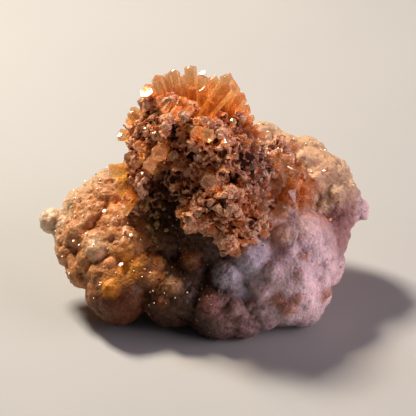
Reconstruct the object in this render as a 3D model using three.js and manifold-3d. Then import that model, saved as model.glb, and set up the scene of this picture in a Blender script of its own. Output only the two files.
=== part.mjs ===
// Creedite cluster: a club of stubby amber crystals on a pale, lumpy piece of host rock, with a
// second crust of crystals in the hollow beside the club. Millimetres, +Z up. The specimen rests
// on a small flat under the rock, and the origin is at the bottom centre of its box.
import * as THREE from 'three';
import { mergeVertices } from 'three/addons/utils/BufferGeometryUtils.js';
import { ConvexGeometry } from 'three/addons/geometries/ConvexGeometry.js';
import { ImprovedNoise } from 'three/addons/math/ImprovedNoise.js';
import Module from 'manifold-3d';

// Places are given as seen from the front by an eye that looks down by VIEW_TILT: across is to
// the right, up is up the view and near is towards the eye, from a point in the middle.
const VIEW_TILT = THREE.MathUtils.degToRad(32);
const REST_LEVEL = -14.4; // height of the resting flat below that middle point
const GAP = 0.4; // clearance between pieces that touch
const SEED = 7;
const UPRIGHT = new THREE.Vector3(0, 0, 1);

// Host rock: lumps of [across, up, near, radius]
const ROCK_CENTRE = [0, -3.6, -4.5];
const ROCK_STRETCH = [1.6, 1.1, 1]; // packs more of the mesh towards the two ends
const ROCK_DETAIL = 12;
const ROCK_BLEND = 0.34;
const ROCK_LUMPS = [
  // body and back
  [-6.0, -3.6, -5.5, 8.2], [1.5, -3.6, -5.0, 9.2], [8.0, -3.4, -4.5, 8.0],
  [-2.0, 2.0, -9.0, 7.4], [4.5, 2.4, -10.0, 7.0], [-8.2, 2.6, -8.4, 5.0],
  [-11.0, -4.5, -8.5, 5.4], [2.0, -3.0, -12.6, 5.2], [10.0, -2.6, -10.5, 5.2],
  // left wing, its tip knob and its outer edge
  [-12.6, 0.6, -5.6, 4.9], [-15.2, -2.4, -4.2, 4.4], [-18.4, -3.0, -4.0, 2.6],
  [-21.3, -1.9, -4.0, 1.7], [-17.2, 0.0, -5.0, 2.6], [-18.0, -5.3, -2.8, 2.8],
  [-16.2, -8.0, -1.4, 2.9], [-14.9, -5.2, 0.2, 2.3], [-11.0, -5.6, 0.2, 3.2],
  [-12.1, -2.4, -0.8, 2.6], [-17.4, -3.6, -0.8, 1.9], [-13.0, 3.0, -4.2, 2.6],
  // bottom left boss
  [-12.0, -11.2, 0.4, 4.2], [-9.3, -8.8, 1.0, 3.0], [-13.7, -9.0, 1.4, 2.2],
  // bottom middle, under the shadow of the crystals
  [-4.4, -11.4, 0.2, 4.6], [1.4, -13.2, 0.6, 4.4], [4.8, -14.4, 1.6, 2.8],
  [-7.2, -8.4, 0.6, 2.6], [-2.0, -8.6, 1.4, 2.6], [-4.9, -10.6, 2.6, 2.2],
  // white nodules under the crystals
  [5.6, -6.9, 2.4, 3.1], [2.6, -9.2, 3.0, 2.4], [7.2, -9.6, 2.6, 2.4],
  // right front
  [10.6, -10.2, 0.6, 5.6], [12.0, -5.2, -1.0, 5.4], [7.4, -12.6, 1.4, 3.6],
  [15.6, -7.7, -1.6, 2.8], [12.6, -13.2, -0.2, 2.9], [16.6, -9.0, -1.2, 1.4],
  [15.0, -11.9, -0.4, 1.5],
  // right wing, its crest and its tip nub
  [13.8, 2.3, -6.8, 5.8], [16.4, 0.5, -6.0, 4.5], [15.6, -3.6, -4.2, 3.6],
  [10.2, 5.6, -8.8, 4.6], [7.3, 7.8, -9.0, 3.9], [13.2, 6.5, -8.4, 3.2],
  [20.7, -0.4, -5.4, 1.4], [16.8, 3.9, -7.0, 2.9],
];
const NODULE_SPACING = 3.2; // between the grape-like knobs on the rock's skin
const NODULE_HEIGHT = 1.3;
const NODULE_LIFT = -0.75;
const ROCK_SWELL = { size: 4.2, height: 0.5 };

// Crystal club: the lumps that its crystals stand on
const CLUB_CENTRE = [-0.6, 6.0, 3.0];
const CLUB_DETAIL = 6;
const CLUB_BLEND = 0.45;
const CLUB_LUMPS = [
  // body and back
  [-2.0, 6.0, 0.8, 6.8], [-1.6, 9.8, 2.8, 4.2], [2.6, 8.8, 2.8, 3.8],
  [3.4, 4.6, 3.0, 4.5], [-1.0, 5.0, -4.0, 6.0],
  // left shoulder and left flank
  [-6.2, 9.8, 3.0, 4.1], [-5.4, 12.0, 3.8, 3.0], [-8.8, 4.4, 2.2, 2.6], [-8.2, 1.8, 1.4, 2.6],
  // front block
  [-3.8, 9.8, 6.0, 2.9], [-0.8, 8.8, 7.0, 2.5], [2.2, 6.8, 6.4, 2.7],
  // lobe that hangs over the rock
  [2.9, 1.0, 5.6, 4.1], [-0.8, -0.2, 5.6, 2.8], [5.0, -1.4, 4.8, 3.1], [3.2, -3.2, 5.2, 2.7],
];
const CLUB_GRAIN = { size: 1.9, height: 0.9 };

// Sprays of crystals over the club: the way they face, the angle that they spread over, how
// many there are, and their width and standing length
const CLUB_SPRAYS = [
  { face: [0, 1, -0.3], spread: 36, count: 15, width: 1.9, length: 3.2 },
  { face: [-1, 0.35, 0.2], spread: 42, count: 11, width: 1.6, length: 1.1 },
  { face: [1, 0.35, 0.2], spread: 50, count: 11, width: 1.5, length: 1.0 },
  { face: [0.15, -0.1, 1], spread: 62, count: 14, width: 1.4, length: 1.1 },
  { face: [0.15, -1, 0.5], spread: 42, count: 8, width: 1.4, length: 1.0 },
  { face: [0, 0.35, -1], spread: 60, count: 13, width: 2.3, length: 2.4 },
];

// Single crystals that stand out, from root to tip, with their width
const CLUB_CRYSTALS = [
  // along the crown, from left to right
  { root: [-7.0, 13.0, 4.6], tip: [-9.2, 14.5, 5.0], width: 1.4 },
  { root: [-6.0, 13.2, 4.8], tip: [-8.6, 16.3, 5.4], width: 2.0 },
  { root: [-4.4, 12.6, 4.6], tip: [-6.5, 18.0, 5.0], width: 2.4 },
  { root: [-3.4, 12.8, 4.4], tip: [-4.7, 18.5, 4.6], width: 1.5 },
  { root: [-2.4, 12.6, 5.2], tip: [-3.4, 17.9, 5.6], width: 1.7 },
  { root: [-1.6, 13.0, 4.6], tip: [-2.4, 19.0, 5.0], width: 2.2 },
  { root: [-0.6, 12.6, 4.2], tip: [-0.7, 18.2, 4.8], width: 1.8 },
  { root: [0.2, 12.6, 3.4], tip: [0.9, 17.6, 3.4], width: 2.2 },
  { root: [0.9, 12.0, 4.6], tip: [2.9, 18.1, 4.8], width: 2.5 },
  { root: [-0.6, 11.6, 6.4], tip: [3.9, 16.3, 7.4], width: 2.5 },
  { root: [2.2, 11.6, 4.4], tip: [4.6, 15.7, 4.8], width: 2.2 },
  { root: [3.2, 10.4, 4.2], tip: [5.3, 13.9, 4.6], width: 1.9 },
  // on the left flank
  { root: [-8.0, 11.0, 3.8], tip: [-10.7, 12.7, 4.0], width: 1.5 },
  { root: [-8.4, 9.6, 3.6], tip: [-11.4, 10.6, 4.0], width: 1.5 },
  { root: [-9.4, 5.4, 3.2], tip: [-13.2, 4.8, 4.4], width: 2.1 },
  { root: [-9.0, 3.4, 3.2], tip: [-12.8, 2.6, 4.6], width: 2.8 },
  { root: [-8.6, 1.6, 3.2], tip: [-11.6, 0.9, 4.6], width: 2.0 },
  { root: [-9.2, 1.2, 3.2], tip: [-11.2, -0.9, 4.8], width: 0.9 },
  // across the front and on the right flank
  { root: [-3.4, 9.9, 8.0], tip: [0.5, 9.5, 9.8], width: 1.7 },
  { root: [-5.4, 8.6, 6.8], tip: [-7.0, 6.4, 8.6], width: 2.3 },
  { root: [-6.4, 7.6, 5.4], tip: [-8.0, 5.2, 7.4], width: 1.8 },
  { root: [0.2, 5.0, 7.6], tip: [0.3, 2.6, 10.0], width: 2.6 },
  { root: [-2.2, 0.4, 7.0], tip: [-4.2, -1.2, 7.8], width: 0.9 },
  { root: [6.0, 2.6, 5.0], tip: [8.3, 3.9, 5.6], width: 1.7 },
  { root: [3.3, -3.8, 6.0], tip: [3.7, -6.8, 6.4], width: 1.6 },
];

// Crust of crystals in the hollow on the right of the club
const POCKET_CENTRE = [9.6, 2.8, -1.6];
const POCKET_DETAIL = 3;
const POCKET_BLEND = 0.5;
const POCKET_LUMPS = [
  [8.6, 7.0, -3.0, 2.3], [9.8, 4.4, -1.4, 2.7], [10.8, 1.8, -0.8, 2.6], [9.8, -0.8, 0.6, 2.4],
];
const POCKET_SPRAYS = [
  { face: [0.3, 0.3, 1], spread: 80, count: 14, width: 1.9, length: 1.5 },
];

// Shape of one crystal, as shares of its width: lowest and highest
const THICKNESS = [0.6, 0.85];
const GABLE_HEIGHT = [0.3, 0.6];
const TIP_OFFSET = [-0.2, 0.2];
const ROOT_SHARE = 0.65; // how narrow the buried root is
const RIDGE_SHARE = 0.5; // how much of the thickness the gable's ridge keeps
const SIZE_VARIATION = [0.8, 1.2];
const LEAN_VARIATION = [-0.25, 0.25];
const SINGLE_DEPTH_SHARE = 0.25; // how deep a single crystal is buried, as a share of its width

// Search for the surface along a ray: coarse steps inwards, then halvings of the last step
const FARTHEST_REACH = 34;
const COARSE_STEP = 0.25;
const HALVINGS = 12;

const STEPS_TO_NEIGHBOURS = [-1, 0, 1];
const CELL_PRIMES = new THREE.Vector3(7919, 104729, 1299709); // mix a cell's place into a seed
const WELD_DISTANCE = 1e-4;

// Swaps the axes, so that near points along -Y and up along +Z, and then tilts them.
const toSpecimen = new THREE.Matrix4().makeRotationX(-VIEW_TILT).multiply(
  new THREE.Matrix4().set(1, 0, 0, 0, 0, 0, -1, 0, 0, 1, 0, 0, 0, 0, 0, 1),
);

// A place or a direction given as [across, up, near], in the specimen's own upright frame.
function seen([across, up, near]) {
  return new THREE.Vector3(across, up, near).applyMatrix4(toSpecimen);
}

// Repeatable random numbers from 0 to 1.
function randomNumbers(seed) {
  let state = seed;
  return () => {
    state = (state + 0x6d2b79f5) | 0;
    let mixed = Math.imul(state ^ (state >>> 15), 1 | state);
    mixed = (mixed + Math.imul(mixed ^ (mixed >>> 7), 61 | mixed)) ^ mixed;
    return ((mixed ^ (mixed >>> 14)) >>> 0) / 2 ** 32;
  };
}

const perlin = new ImprovedNoise();
const random = randomNumbers(SEED);
const randomIn = ([low, high]) => low + (high - low) * random();

// Smooth noise from about -1 to 1, with swells of a size.
function swell(spot, size) {
  return perlin.noise(spot.x / size, spot.y / size, spot.z / size);
}

// Distance to the smooth union of the lumps: below zero inside.
function lumpField(lumps, blend) {
  const balls = lumps.map(([across, up, near, radius]) => ({
    centre: seen([across, up, near]),
    radius,
  }));
  return (point) => {
    let sum = 0;
    for (const ball of balls) {
      sum += Math.exp((ball.radius - point.distanceTo(ball.centre)) / blend);
    }
    return -blend * Math.log(sum);
  };
}

// Outermost distance from the centre, along a direction, at which the field is crossed.
function reachAlong(field, centre, direction) {
  const point = new THREE.Vector3();
  const at = (distance) => field(point.copy(direction).multiplyScalar(distance).add(centre));
  let outside = FARTHEST_REACH;
  while (outside > COARSE_STEP && at(outside - COARSE_STEP) > 0) outside -= COARSE_STEP;
  let inside = Math.max(outside - COARSE_STEP, 0);
  for (let i = 0; i < HALVINGS; i++) {
    const middle = (inside + outside) / 2;
    if (at(middle) > 0) outside = middle;
    else inside = middle;
  }
  return inside;
}

// A closed surface that every ray from the centre crosses once.
function starSurface({ field, centre, detail, relief, stretch = [1, 1, 1], grow = 0 }) {
  const geometry = mergeVertices(
    new THREE.IcosahedronGeometry(1, detail).deleteAttribute('normal').deleteAttribute('uv'),
  );
  const positions = geometry.attributes.position;
  const direction = new THREE.Vector3();
  const squeeze = new THREE.Vector3(...stretch);
  for (let i = 0; i < positions.count; i++) {
    direction.fromBufferAttribute(positions, i).multiply(squeeze).normalize();
    const reach = reachAlong(field, centre, direction);
    const spot = direction.clone().multiplyScalar(reach).add(centre);
    spot.addScaledVector(direction, relief(spot) + grow);
    positions.setXYZ(i, spot.x, spot.y, spot.z);
  }
  return geometry;
}

// Distance from a spot to the nearest of many points, one at random in each cell of a grid.
function nearestSeed(spot, spacing) {
  const cell = spot.clone().divideScalar(spacing).floor();
  const seedPoint = new THREE.Vector3();
  let nearest = Infinity;
  for (const x of STEPS_TO_NEIGHBOURS) {
    for (const y of STEPS_TO_NEIGHBOURS) {
      for (const z of STEPS_TO_NEIGHBOURS) {
        const corner = new THREE.Vector3(x, y, z).add(cell);
        const jitter = randomNumbers(corner.dot(CELL_PRIMES));
        seedPoint.set(jitter(), jitter(), jitter()).add(corner).multiplyScalar(spacing);
        nearest = Math.min(nearest, seedPoint.distanceTo(spot));
      }
    }
  }
  return nearest;
}

// Grape-like knobs with creases between them, on broad swells.
function rockRelief(spot) {
  const away = nearestSeed(spot, NODULE_SPACING) / NODULE_SPACING;
  const broad = ROCK_SWELL.height * swell(spot, ROCK_SWELL.size);
  return broad + NODULE_LIFT + NODULE_HEIGHT * Math.max(0, 1 - away * away);
}

function clubRelief(spot) {
  return CLUB_GRAIN.height * swell(spot, CLUB_GRAIN.size);
}

// One crystal along +Z from its root at 0, buried by a depth: a flattened prism that widens
// outwards and ends in a gable.
function crystalGeometry(width, length, depth) {
  const thickness = width * randomIn(THICKNESS);
  const shoulder = Math.max(length - width * randomIn(GABLE_HEIGHT), 0);
  const tipAcross = width * randomIn(TIP_OFFSET);
  const points = [];
  for (const [level, share] of [[-depth, ROOT_SHARE], [shoulder, 1]]) {
    for (const [x, y] of [[-1, -1], [1, -1], [1, 1], [-1, 1]]) {
      points.push(new THREE.Vector3(x * share * width / 2, y * share * thickness / 2, level));
    }
  }
  for (const side of [-1, 1]) {
    points.push(new THREE.Vector3(tipAcross, side * RIDGE_SHARE * thickness / 2, length));
  }
  return new ConvexGeometry(points);
}

// The crystal turned to stand at a spot, along a direction, by a turn about its own axis.
function standCrystal(geometry, spot, direction, turn) {
  const spin = new THREE.Quaternion().setFromAxisAngle(UPRIGHT, turn);
  const lean = new THREE.Quaternion().setFromUnitVectors(UPRIGHT, direction);
  geometry.applyQuaternion(lean.multiply(spin));
  return geometry.translate(spot.x, spot.y, spot.z);
}

// Directions spread evenly, on a golden spiral, over a cap that faces one way.
function capDirections({ face, spread, count }) {
  const axis = seen(face).normalize();
  const turn = new THREE.Quaternion().setFromUnitVectors(UPRIGHT, axis);
  const lowest = Math.cos(THREE.MathUtils.degToRad(spread));
  const goldenAngle = Math.PI * (3 - Math.sqrt(5));
  return Array.from({ length: count }, (_, i) => {
    const height = 1 - (1 - lowest) * (i + 0.5) / count;
    const ring = Math.sqrt(1 - height * height);
    const around = i * goldenAngle;
    return new THREE.Vector3(ring * Math.cos(around), ring * Math.sin(around), height)
      .applyQuaternion(turn);
  });
}

// The crystals of a spray, standing on the surface that the field gives.
function sprayCrystals(spray, field, centre, isHidden) {
  const crystals = [];
  for (const direction of capDirections(spray)) {
    const reach = reachAlong(field, centre, direction);
    const spot = direction.clone().multiplyScalar(reach).add(centre);
    const width = spray.width * randomIn(SIZE_VARIATION);
    const length = spray.length * randomIn(SIZE_VARIATION);
    const wobble = new THREE.Vector3(
      randomIn(LEAN_VARIATION),
      randomIn(LEAN_VARIATION),
      randomIn(LEAN_VARIATION),
    );
    const leaning = direction.clone().add(wobble).normalize();
    const turn = random() * Math.PI;
    if (isHidden(spot)) continue;
    crystals.push(standCrystal(crystalGeometry(width, length, width), spot, leaning, turn));
  }
  return crystals;
}

// A single crystal from its root to its tip, with its broad side towards the eye.
function singleCrystal({ root, tip, width }) {
  const [start, end] = [seen(root), seen(tip)];
  const direction = end.clone().sub(start);
  const length = direction.length();
  direction.normalize();
  const upright = new THREE.Quaternion().setFromUnitVectors(direction, UPRIGHT);
  const eye = seen([randomIn(LEAN_VARIATION), 0, 1]).applyQuaternion(upright);
  const turn = Math.atan2(eye.y, eye.x) + Math.PI / 2;
  const crystal = crystalGeometry(width, length, width * SINGLE_DEPTH_SHARE);
  return standCrystal(crystal, start, direction, turn);
}

const wasm = await Module();
wasm.setup();

function solidOf(geometry) {
  const bare = new THREE.BufferGeometry();
  bare.setAttribute('position', geometry.attributes.position);
  bare.setIndex(geometry.index);
  const merged = mergeVertices(bare, WELD_DISTANCE);
  return new wasm.Manifold(new wasm.Mesh({
    numProp: 3,
    vertProperties: new Float32Array(merged.attributes.position.array),
    triVerts: new Uint32Array(merged.index.array),
  }));
}

// The largest piece of a solid that cutting has left in several.
function mainBody(solid) {
  return solid.decompose().reduce((a, b) => (a.volume() > b.volume() ? a : b));
}

function meshOf(solid, name, material) {
  const { vertProperties, triVerts } = solid.getMesh();
  const geometry = new THREE.BufferGeometry();
  geometry.setAttribute('position', new THREE.BufferAttribute(vertProperties, 3));
  geometry.setIndex(new THREE.BufferAttribute(triVerts, 1));
  const mesh = new THREE.Mesh(geometry, material);
  mesh.name = name;
  return mesh;
}

function rockSolid(field, grow = 0) {
  return solidOf(starSurface({
    field,
    centre: seen(ROCK_CENTRE),
    detail: ROCK_DETAIL,
    stretch: ROCK_STRETCH,
    relief: rockRelief,
    grow,
  }));
}

function clubCore(field, grow = 0) {
  return solidOf(starSurface({
    field,
    centre: seen(CLUB_CENTRE),
    detail: CLUB_DETAIL,
    relief: clubRelief,
    grow,
  }));
}

// Everything below the resting flat.
function groundSolid() {
  const width = 90;
  const depth = 30;
  const block = new THREE.BoxGeometry(width, width, depth);
  return solidOf(block.translate(0, 0, REST_LEVEL - depth / 2));
}

function clubSolid(field, rockField) {
  const centre = seen(CLUB_CENTRE);
  const isHidden = (spot) => rockField(spot) < GAP;
  const crystals = [
    ...CLUB_SPRAYS.flatMap((spray) => sprayCrystals(spray, field, centre, isHidden)),
    ...CLUB_CRYSTALS.map(singleCrystal),
  ];
  return wasm.Manifold.union([clubCore(field), ...crystals.map(solidOf)]);
}

function pocketSolid(rockField, clubField) {
  const field = lumpField(POCKET_LUMPS, POCKET_BLEND);
  const centre = seen(POCKET_CENTRE);
  const isHidden = (spot) => rockField(spot) < 0 || clubField(spot) < GAP;
  const crystals = POCKET_SPRAYS.flatMap((s) => sprayCrystals(s, field, centre, isHidden));
  const base = starSurface({ field, centre, detail: POCKET_DETAIL, relief: clubRelief });
  return wasm.Manifold.union([base, ...crystals].map(solidOf));
}

const rockField = lumpField(ROCK_LUMPS, ROCK_BLEND);
const clubField = lumpField(CLUB_LUMPS, CLUB_BLEND);
const rock = rockSolid(rockField).subtract(groundSolid());
const rockAndGap = rockSolid(rockField, GAP);
const club = mainBody(clubSolid(clubField, rockField).subtract(rockAndGap));
const clubAndGap = clubCore(clubField, GAP);
const pocket = mainBody(
  pocketSolid(rockField, clubField).subtract(rockAndGap).subtract(clubAndGap).subtract(club),
);

const rockMaterial = new THREE.MeshStandardMaterial({ color: 0xd9a98c, roughness: 0.8 });
const clubMaterial = new THREE.MeshStandardMaterial({ color: 0xb5693c, roughness: 0.35 });
const pocketMaterial = new THREE.MeshStandardMaterial({ color: 0xc87a2c, roughness: 0.2 });

const specimen = new THREE.Group();
specimen.add(
  meshOf(rock, 'host_rock', rockMaterial),
  meshOf(club, 'crystal_club', clubMaterial),
  meshOf(pocket, 'pocket_crystals', pocketMaterial),
);
const box = new THREE.Box3().setFromObject(specimen);
const middle = box.getCenter(new THREE.Vector3());
specimen.position.set(-middle.x, -middle.y, -box.min.z);
specimen.updateMatrixWorld(true);

export default specimen;
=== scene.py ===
"""Creedite cluster: clear amber crystals, the red dust between them and the sugary rock below."""
import math

import bmesh
import bpy
import numpy as np
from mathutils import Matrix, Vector


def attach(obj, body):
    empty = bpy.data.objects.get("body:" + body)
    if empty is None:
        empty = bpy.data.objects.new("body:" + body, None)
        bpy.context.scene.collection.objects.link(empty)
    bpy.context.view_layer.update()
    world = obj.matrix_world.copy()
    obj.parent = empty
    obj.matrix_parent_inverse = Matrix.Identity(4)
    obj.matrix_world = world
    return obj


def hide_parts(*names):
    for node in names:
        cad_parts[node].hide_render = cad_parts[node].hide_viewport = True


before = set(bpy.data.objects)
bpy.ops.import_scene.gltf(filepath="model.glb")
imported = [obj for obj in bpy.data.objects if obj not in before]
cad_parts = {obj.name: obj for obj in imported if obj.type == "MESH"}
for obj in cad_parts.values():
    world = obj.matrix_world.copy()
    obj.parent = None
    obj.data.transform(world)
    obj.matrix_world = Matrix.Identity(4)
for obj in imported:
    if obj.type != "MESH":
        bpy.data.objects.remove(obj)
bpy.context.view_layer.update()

MM = 0.001
SEED = 11

# The photograph's view: an eye that looks down by VIEW_TILT at VIEW_MIDDLE, in millimetres.
# Places are given as that eye sees them: across to the right, up the view, and near to it.
VIEW_TILT = math.radians(32)
VIEW_MIDDLE = np.array([0.362, -2.468, 14.4])
VIEW_DISTANCE = 330
VIEW_WIDTH = 56.16
SENSOR = 36

# Lights: the way to each in the row frame, then its distance, size, watts and colour
KEY_FROM = (-0.42, 0.45, 0.79)
KEY = (KEY_FROM, 300, 60, 1.5, (1.0, 0.90, 0.76))
FILL = ((0.91, -0.28, 0.30), 320, 220, 0.76, (1.0, 0.84, 0.92))
ROOM_COLOUR = (0.95, 0.93, 0.96, 1)
ROOM_STRENGTH = 0.035
FLOOR_REACH = 600

# A surface is found in steps towards it, from far out on a mass or from near to the eye
FARTHEST = 18.0
STEPS_INWARDS = 40
NEAREST = 24
STEPS_FROM_EYE = 60

# The rock as lumps of [across, up, near, radius]
ROCK_BLEND = 0.34
ROCK_LUMPS = [
    # body and back
    [-6.0, -3.6, -5.5, 8.2], [1.5, -3.6, -5.0, 9.2], [8.0, -3.4, -4.5, 8.0],
    [-2.0, 2.0, -9.0, 7.4], [4.5, 2.4, -10.0, 7.0], [-8.2, 2.6, -8.4, 5.0],
    [-11.0, -4.5, -8.5, 5.4], [2.0, -3.0, -12.6, 5.2], [10.0, -2.6, -10.5, 5.2],
    # left wing
    [-12.6, 0.6, -5.6, 4.9], [-15.2, -2.4, -4.2, 4.4], [-18.4, -3.0, -4.0, 2.6],
    [-21.3, -1.9, -4.0, 1.7], [-17.2, 0.0, -5.0, 2.6], [-18.0, -5.3, -2.8, 2.8],
    [-16.2, -8.0, -1.4, 2.9], [-14.9, -5.2, 0.2, 2.3], [-11.0, -5.6, 0.2, 3.2],
    [-12.1, -2.4, -0.8, 2.6], [-17.4, -3.6, -0.8, 1.9], [-13.0, 3.0, -4.2, 2.6],
    # boss at the bottom left
    [-12.0, -11.2, 0.4, 4.2], [-9.3, -8.8, 1.0, 3.0], [-13.7, -9.0, 1.4, 2.2],
    # bottom middle
    [-4.4, -11.4, 0.2, 4.6], [1.4, -13.2, 0.6, 4.4], [4.8, -14.4, 1.6, 2.8],
    [-7.2, -8.4, 0.6, 2.6], [-2.0, -8.6, 1.4, 2.6], [-4.9, -10.6, 2.6, 2.2],
    # white nodules under the club
    [5.6, -6.9, 2.4, 3.1], [2.6, -9.2, 3.0, 2.4], [7.2, -9.6, 2.6, 2.4],
    # right front
    [10.6, -10.2, 0.6, 5.6], [12.0, -5.2, -1.0, 5.4], [7.4, -12.6, 1.4, 3.6],
    [15.6, -7.7, -1.6, 2.8], [12.6, -13.2, -0.2, 2.9], [16.6, -9.0, -1.2, 1.4],
    [15.0, -11.9, -0.4, 1.5],
    # right wing
    [13.8, 2.3, -6.8, 5.8], [16.4, 0.5, -6.0, 4.5], [15.6, -3.6, -4.2, 3.6],
    [10.2, 5.6, -8.8, 4.6], [7.3, 7.8, -9.0, 3.9], [13.2, 6.5, -8.4, 3.2],
    [20.7, -0.4, -5.4, 1.4], [16.8, 3.9, -7.0, 2.9],
]

# The club's core as lumps of [across, up, near, radius]
CLUB_CENTRE = [-0.6, 6.0, 3.0]
CLUB_BLEND = 0.45
CLUB_LUMPS = [
    # body and back
    [-2.0, 6.0, 0.8, 6.8], [-1.6, 9.8, 2.8, 4.2], [2.6, 8.8, 2.8, 3.8],
    [3.4, 4.6, 3.0, 4.5], [-1.0, 5.0, -4.0, 6.0],
    # left shoulder and left flank
    [-6.2, 9.8, 3.0, 4.1], [-5.4, 12.0, 3.8, 3.0], [-8.8, 4.4, 2.2, 2.6], [-8.2, 1.8, 1.4, 2.6],
    # front block
    [-3.8, 9.8, 6.0, 2.9], [-0.8, 8.8, 7.0, 2.5], [2.2, 6.8, 6.4, 2.7],
    # lobe that hangs over the rock
    [2.9, 1.0, 5.6, 4.1], [-0.8, -0.2, 5.6, 2.8], [5.0, -1.4, 4.8, 3.1], [3.2, -3.2, 5.2, 2.7],
]

# Clumps of dust as lumps of [across, up, near, radius]
DUST_CLUMPS = [
    # on the roots of the crown's crystals
    [-4.7, 15.0, 5.8, 0.9], [-4.0, 14.0, 6.4, 1.1], [-6.0, 13.6, 6.0, 1.1], [-2.9, 13.8, 6.2, 0.8],
    [-1.8, 12.8, 6.8, 1.0], [2.0, 12.4, 6.6, 0.9], [4.2, 12.6, 5.4, 1.0], [0.6, 14.0, 5.4, 0.8],
    # among the crystals in the hollow
    [8.0, 6.6, -1.2, 1.4], [10.4, 5.4, -0.4, 1.3], [11.6, 2.4, 0.4, 1.3], [8.9, 0.6, 1.8, 1.2],
    [11.0, -0.8, 1.6, 1.1], [9.4, 8.0, -2.6, 1.2],
]

# The dark recess in the club's left front: [across, up, near]
RECESS_MIDDLE = [-5.3, 2.0, 6.0]
RECESS_SIZE = [2.3, 4.2, 4.0]
RECESS_DEPTH = 2.6

# The rock's smooth places, on the milky right front and on the boss: [across, up, near] and
# how far each reaches
SMOOTH_PLACES = [([11.0, -9.0, 2.0], 6.5), ([-12.0, -10.8, 3.6], 3.2)]
# Painted shade: the rock's colour is darkened towards its foot
FOOT_SHADE_HEIGHT = 8  # how fast the rock's dark foot grows lighter upwards

# Single crystals that stand out, from root to tip, with their width
CLUB_CRYSTALS = [
    # along the crown, from left to right
    ([-7.0, 13.0, 4.6], [-9.2, 14.5, 5.0], 1.4),
    ([-6.0, 13.2, 4.8], [-8.6, 16.3, 5.4], 2.0),
    ([-4.9, 12.8, 5.6], [-7.0, 17.7, 6.0], 1.7),
    ([-4.0, 12.6, 5.0], [-5.7, 17.9, 5.2], 1.6),
    ([-3.4, 12.8, 4.4], [-4.7, 18.6, 4.6], 1.6),
    ([-2.6, 12.6, 5.6], [-3.4, 17.7, 6.2], 1.3),
    ([-1.8, 13.0, 4.6], [-2.4, 19.0, 5.0], 1.7),
    ([-0.8, 12.6, 5.6], [-0.8, 17.7, 6.0], 1.5),
    ([-0.6, 12.0, 6.4], [-0.6, 16.2, 7.0], 2.0),
    ([0.2, 12.6, 3.4], [0.9, 17.8, 3.4], 2.2),
    ([1.2, 12.0, 4.6], [2.8, 18.1, 4.8], 2.0),
    ([1.8, 11.8, 4.4], [3.8, 17.0, 4.4], 1.9),
    ([-0.8, 11.8, 7.2], [3.0, 16.5, 8.0], 2.6),
    ([2.2, 11.6, 5.0], [4.7, 15.4, 5.4], 2.2),
    ([3.2, 10.4, 4.2], [5.3, 13.9, 4.6], 1.9),
    # lying below the crown
    ([-4.4, 14.6, 7.0], [-5.9, 12.6, 8.0], 1.0),
    ([-3.6, 14.4, 7.2], [-4.6, 12.0, 8.6], 1.1),
    ([-2.6, 13.4, 7.4], [-4.2, 11.4, 9.0], 0.9),
    # on the left flank
    ([-8.0, 11.0, 3.8], [-10.7, 12.7, 4.0], 1.5),
    ([-8.8, 9.4, 3.6], [-12.1, 9.8, 4.2], 1.7),
    ([-9.4, 5.4, 3.2], [-13.2, 4.8, 4.4], 2.1),
    ([-9.0, 3.4, 3.4], [-12.8, 2.6, 3.8], 2.8),
    ([-8.6, 1.6, 3.4], [-11.6, 0.9, 3.9], 2.0),
    ([-9.4, 1.6, 4.4], [-11.3, -1.0, 5.8], 1.0),
    # across the front and on the right flank
    ([-2.6, 10.5, 8.6], [0.7, 9.3, 10.9], 1.8),
    ([-5.4, 8.6, 6.8], [-7.0, 6.4, 8.6], 2.3),
    ([-6.4, 7.6, 5.4], [-8.0, 5.2, 7.4], 1.8),
    ([0.2, 5.0, 7.6], [0.3, 2.6, 10.0], 2.6),
    ([-2.2, 0.4, 7.0], [-4.2, -1.2, 7.8], 0.9),
    ([6.0, 2.6, 5.0], [8.3, 3.9, 5.6], 1.7),
    ([3.3, -3.8, 6.0], [3.7, -6.8, 6.4], 1.6),
]

# Sprays of crystals: the way they face, the angle they spread over, how many,
# and their width and standing length
CLUB_SPRAYS = [
    ([0, 1, -0.3], 36, 15, 1.9, 3.2),
    ([-1, 0.35, 0.2], 42, 11, 1.6, 1.1),
    ([1, 0.35, 0.2], 50, 11, 1.5, 1.0),
    ([0.15, -0.1, 1], 62, 14, 1.4, 1.1),
    ([0.15, -1, 0.5], 42, 8, 1.4, 1.0),
    ([0, 0.35, -1], 60, 13, 2.3, 2.4),
]

# The crown's fan, which is filled up with crystals: its middle, its edges in degrees, and how
# far the crystals' roots and the farthest tips are from its middle
CROWN_MIDDLE = [-1.2, 9.5, 4.2]
CROWN_FAN = (-58, 44)
CROWN_ROOT = 3.6
CROWN_TIP = 9.0

# Small crystals all over the club: how many, how far sunk in, and their widths and lengths
DRUSE_SIZES = [(700, 0.1, (0.4, 0.9), (0.7, 1.6)), (170, 0.2, (0.9, 1.6), (1.6, 2.8))]
FRONT_BLOCK = [-0.6, 6.6, 8.0]  # the dusty front block, where few of them grow
FRONT_REACH = 6.0
FRONT_SHARE = 0.2
RECESS_FOOT = [-7.0, -2.6]  # where yellow ones catch the light, [across, up], and how far around
RECESS_FOOT_SPREAD = [0.8, 1.2]

# The crust's dust-coated crystals: how many, and how wide and long
CRUST_SIZES = [(110, (1.8, 2.9)), (320, (1.1, 1.9)), (560, (0.6, 1.1))]

# How many tiny grains are strewn over the rock and the club
ROCK_GRAINS = 7500
CLUB_GRAINS = 8000
STREWN_SINK = 0.35  # how deep a strewn crystal's root lies, as a share of its width

# How fine the two skins are
ROCK_VOXEL = 0.222
CLUB_VOXEL = 0.17

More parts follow.
